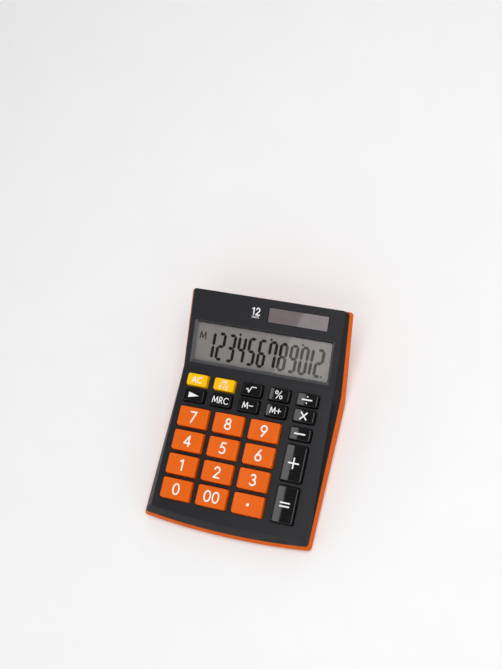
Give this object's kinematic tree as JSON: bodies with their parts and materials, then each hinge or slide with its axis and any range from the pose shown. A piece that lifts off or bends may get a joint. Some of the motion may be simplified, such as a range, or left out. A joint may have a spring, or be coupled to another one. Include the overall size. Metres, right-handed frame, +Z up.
{
  "type": "desk calculator",
  "caption": "Desk calculator with a bent two-tone case: angled segment display and solar window above sprung rounded keys, on rubber feet, with a sliding battery door underneath.",
  "frame": {"origin": "on the desk, under the middle of the body", "axes": "+X to the user's right, +Y away from the user towards the display, +Z up from the desk"},
  "size_m": [0.143, 0.192, 0.0548],
  "materials": {
    "charcoal_shell": "satin",
    "orange_shell": "satin",
    "orange_key": "satin",
    "yellow_key": "satin",
    "black_key": "gloss",
    "clear_window": "clear gloss",
    "display_glass": "gloss",
    "solar_window": "gloss",
    "solar_cell": "satin",
    "white_plastic": "matte",
    "silicone": "matte",
    "board": "satin",
    "epoxy": "satin",
    "ribbon": "satin",
    "steel": "brushed",
    "brass": "satin",
    "foot_rubber": "matte"
  },
  "bodies": {
    "case": {"board_screw_front_left": "steel", "board_screw_front_right": "steel", "board_screw_rear_left": "steel", "board_screw_rear_right": "steel", "button_cell": "steel", "case_screw_bend_left": "steel", "case_screw_bend_right": "steel", "case_screw_front_left": "steel", "case_screw_front_right": "steel", "case_screw_rear_left": "steel", "case_screw_rear_right": "steel", "cell_contact_negative": "brass", "cell_contact_positive": "brass", "cell_leads": "ribbon", "display_glass": "display_glass", "display_holder": "white_plastic", "display_ribbon": "ribbon", "display_window": "clear_window", "foot_front_left": "foot_rubber", "foot_front_right": "foot_rubber", "foot_rear_left": "foot_rubber", "foot_rear_right": "foot_rubber", "key_mat": "silicone", "lower_case": "orange_shell", "main_board": "board", "processor": "epoxy", "solar_cell": "solar_cell", "solar_leads": "ribbon", "solar_window": "solar_window", "upper_case": "charcoal_shell"},
    "key_0_cap": {"key_0": "orange_key"},
    "key_00_cap": {"key_00": "orange_key"},
    "key_1_cap": {"key_1": "orange_key"},
    "key_2_cap": {"key_2": "orange_key"},
    "key_3_cap": {"key_3": "orange_key"},
    "key_4_cap": {"key_4": "orange_key"},
    "key_5_cap": {"key_5": "orange_key"},
    "key_6_cap": {"key_6": "orange_key"},
    "key_7_cap": {"key_7": "orange_key"},
    "key_8_cap": {"key_8": "orange_key"},
    "key_9_cap": {"key_9": "orange_key"},
    "key_ac_cap": {"key_ac": "yellow_key"},
    "key_backspace_cap": {"key_backspace": "black_key"},
    "key_divide_cap": {"key_divide": "black_key"},
    "key_equals_cap": {"key_equals": "black_key"},
    "key_memory_minus_cap": {"key_memory_minus": "black_key"},
    "key_memory_plus_cap": {"key_memory_plus": "black_key"},
    "key_memory_recall_cap": {"key_memory_recall": "black_key"},
    "key_minus_cap": {"key_minus": "black_key"},
    "key_multiply_cap": {"key_multiply": "black_key"},
    "key_on_clear_entry_cap": {"key_on_clear_entry": "yellow_key"},
    "key_percent_cap": {"key_percent": "black_key"},
    "key_plus_cap": {"key_plus": "black_key"},
    "key_point_cap": {"key_point": "orange_key"},
    "key_square_root_cap": {"key_square_root": "black_key"},
    "door": {"battery_door": "orange_shell"}
  },
  "joints": [
    {"name": "key_0_press", "type": "slide", "parent": "case", "child": "key_0_cap", "axis": [0, 0.1253, -0.9921], "range_m": [0, 0.0016], "stiffness_N_per_m": 300, "springref_m": -0.0008},
    {"name": "key_00_press", "type": "slide", "parent": "case", "child": "key_00_cap", "axis": [0, 0.1253, -0.9921], "range_m": [0, 0.0016], "stiffness_N_per_m": 300, "springref_m": -0.0008},
    {"name": "key_1_press", "type": "slide", "parent": "case", "child": "key_1_cap", "axis": [0, 0.1253, -0.9921], "range_m": [0, 0.0016], "stiffness_N_per_m": 300, "springref_m": -0.0008},
    {"name": "key_2_press", "type": "slide", "parent": "case", "child": "key_2_cap", "axis": [0, 0.1253, -0.9921], "range_m": [0, 0.0016], "stiffness_N_per_m": 300, "springref_m": -0.0008},
    {"name": "key_3_press", "type": "slide", "parent": "case", "child": "key_3_cap", "axis": [0, 0.1253, -0.9921], "range_m": [0, 0.0016], "stiffness_N_per_m": 300, "springref_m": -0.0008},
    {"name": "key_4_press", "type": "slide", "parent": "case", "child": "key_4_cap", "axis": [0, 0.1253, -0.9921], "range_m": [0, 0.0016], "stiffness_N_per_m": 300, "springref_m": -0.0008},
    {"name": "key_5_press", "type": "slide", "parent": "case", "child": "key_5_cap", "axis": [0, 0.1253, -0.9921], "range_m": [0, 0.0016], "stiffness_N_per_m": 300, "springref_m": -0.0008},
    {"name": "key_6_press", "type": "slide", "parent": "case", "child": "key_6_cap", "axis": [0, 0.1253, -0.9921], "range_m": [0, 0.0016], "stiffness_N_per_m": 300, "springref_m": -0.0008},
    {"name": "key_7_press", "type": "slide", "parent": "case", "child": "key_7_cap", "axis": [0, 0.1253, -0.9921], "range_m": [0, 0.0016], "stiffness_N_per_m": 300, "springref_m": -0.0008},
    {"name": "key_8_press", "type": "slide", "parent": "case", "child": "key_8_cap", "axis": [0, 0.1253, -0.9921], "range_m": [0, 0.0016], "stiffness_N_per_m": 300, "springref_m": -0.0008},
    {"name": "key_9_press", "type": "slide", "parent": "case", "child": "key_9_cap", "axis": [0, 0.1253, -0.9921], "range_m": [0, 0.0016], "stiffness_N_per_m": 300, "springref_m": -0.0008},
    {"name": "key_ac_press", "type": "slide", "parent": "case", "child": "key_ac_cap", "axis": [0, 0.1253, -0.9921], "range_m": [0, 0.0016], "stiffness_N_per_m": 300, "springref_m": -0.0008},
    {"name": "key_backspace_press", "type": "slide", "parent": "case", "child": "key_backspace_cap", "axis": [0, 0.1253, -0.9921], "range_m": [0, 0.0016], "stiffness_N_per_m": 300, "springref_m": -0.0008},
    {"name": "key_divide_press", "type": "slide", "parent": "case", "child": "key_divide_cap", "axis": [0, 0.1253, -0.9921], "range_m": [0, 0.0016], "stiffness_N_per_m": 300, "springref_m": -0.0008},
    {"name": "key_equals_press", "type": "slide", "parent": "case", "child": "key_equals_cap", "axis": [0, 0.1253, -0.9921], "range_m": [0, 0.0016], "stiffness_N_per_m": 300, "springref_m": -0.0008},
    {"name": "key_memory_minus_press", "type": "slide", "parent": "case", "child": "key_memory_minus_cap", "axis": [0, 0.1253, -0.9921], "range_m": [0, 0.0016], "stiffness_N_per_m": 300, "springref_m": -0.0008},
    {"name": "key_memory_plus_press", "type": "slide", "parent": "case", "child": "key_memory_plus_cap", "axis": [0, 0.1253, -0.9921], "range_m": [0, 0.0016], "stiffness_N_per_m": 300, "springref_m": -0.0008},
    {"name": "key_memory_recall_press", "type": "slide", "parent": "case", "child": "key_memory_recall_cap", "axis": [0, 0.1253, -0.9921], "range_m": [0, 0.0016], "stiffness_N_per_m": 300, "springref_m": -0.0008},
    {"name": "key_minus_press", "type": "slide", "parent": "case", "child": "key_minus_cap", "axis": [0, 0.1253, -0.9921], "range_m": [0, 0.0016], "stiffness_N_per_m": 300, "springref_m": -0.0008},
    {"name": "key_multiply_press", "type": "slide", "parent": "case", "child": "key_multiply_cap", "axis": [0, 0.1253, -0.9921], "range_m": [0, 0.0016], "stiffness_N_per_m": 300, "springref_m": -0.0008},
    {"name": "key_on_clear_entry_press", "type": "slide", "parent": "case", "child": "key_on_clear_entry_cap", "axis": [0, 0.1253, -0.9921], "range_m": [0, 0.0016], "stiffness_N_per_m": 300, "springref_m": -0.0008},
    {"name": "key_percent_press", "type": "slide", "parent": "case", "child": "key_percent_cap", "axis": [0, 0.1253, -0.9921], "range_m": [0, 0.0016], "stiffness_N_per_m": 300, "springref_m": -0.0008},
    {"name": "key_plus_press", "type": "slide", "parent": "case", "child": "key_plus_cap", "axis": [0, 0.1253, -0.9921], "range_m": [0, 0.0016], "stiffness_N_per_m": 300, "springref_m": -0.0008},
    {"name": "key_point_press", "type": "slide", "parent": "case", "child": "key_point_cap", "axis": [0, 0.1253, -0.9921], "range_m": [0, 0.0016], "stiffness_N_per_m": 300, "springref_m": -0.0008},
    {"name": "key_square_root_press", "type": "slide", "parent": "case", "child": "key_square_root_cap", "axis": [0, 0.1253, -0.9921], "range_m": [0, 0.0016], "stiffness_N_per_m": 300, "springref_m": -0.0008},
    {"name": "battery_door_slide", "type": "slide", "parent": "case", "child": "door", "axis": [0, 1, 0], "range_m": [0, 0.024]}
  ]
}
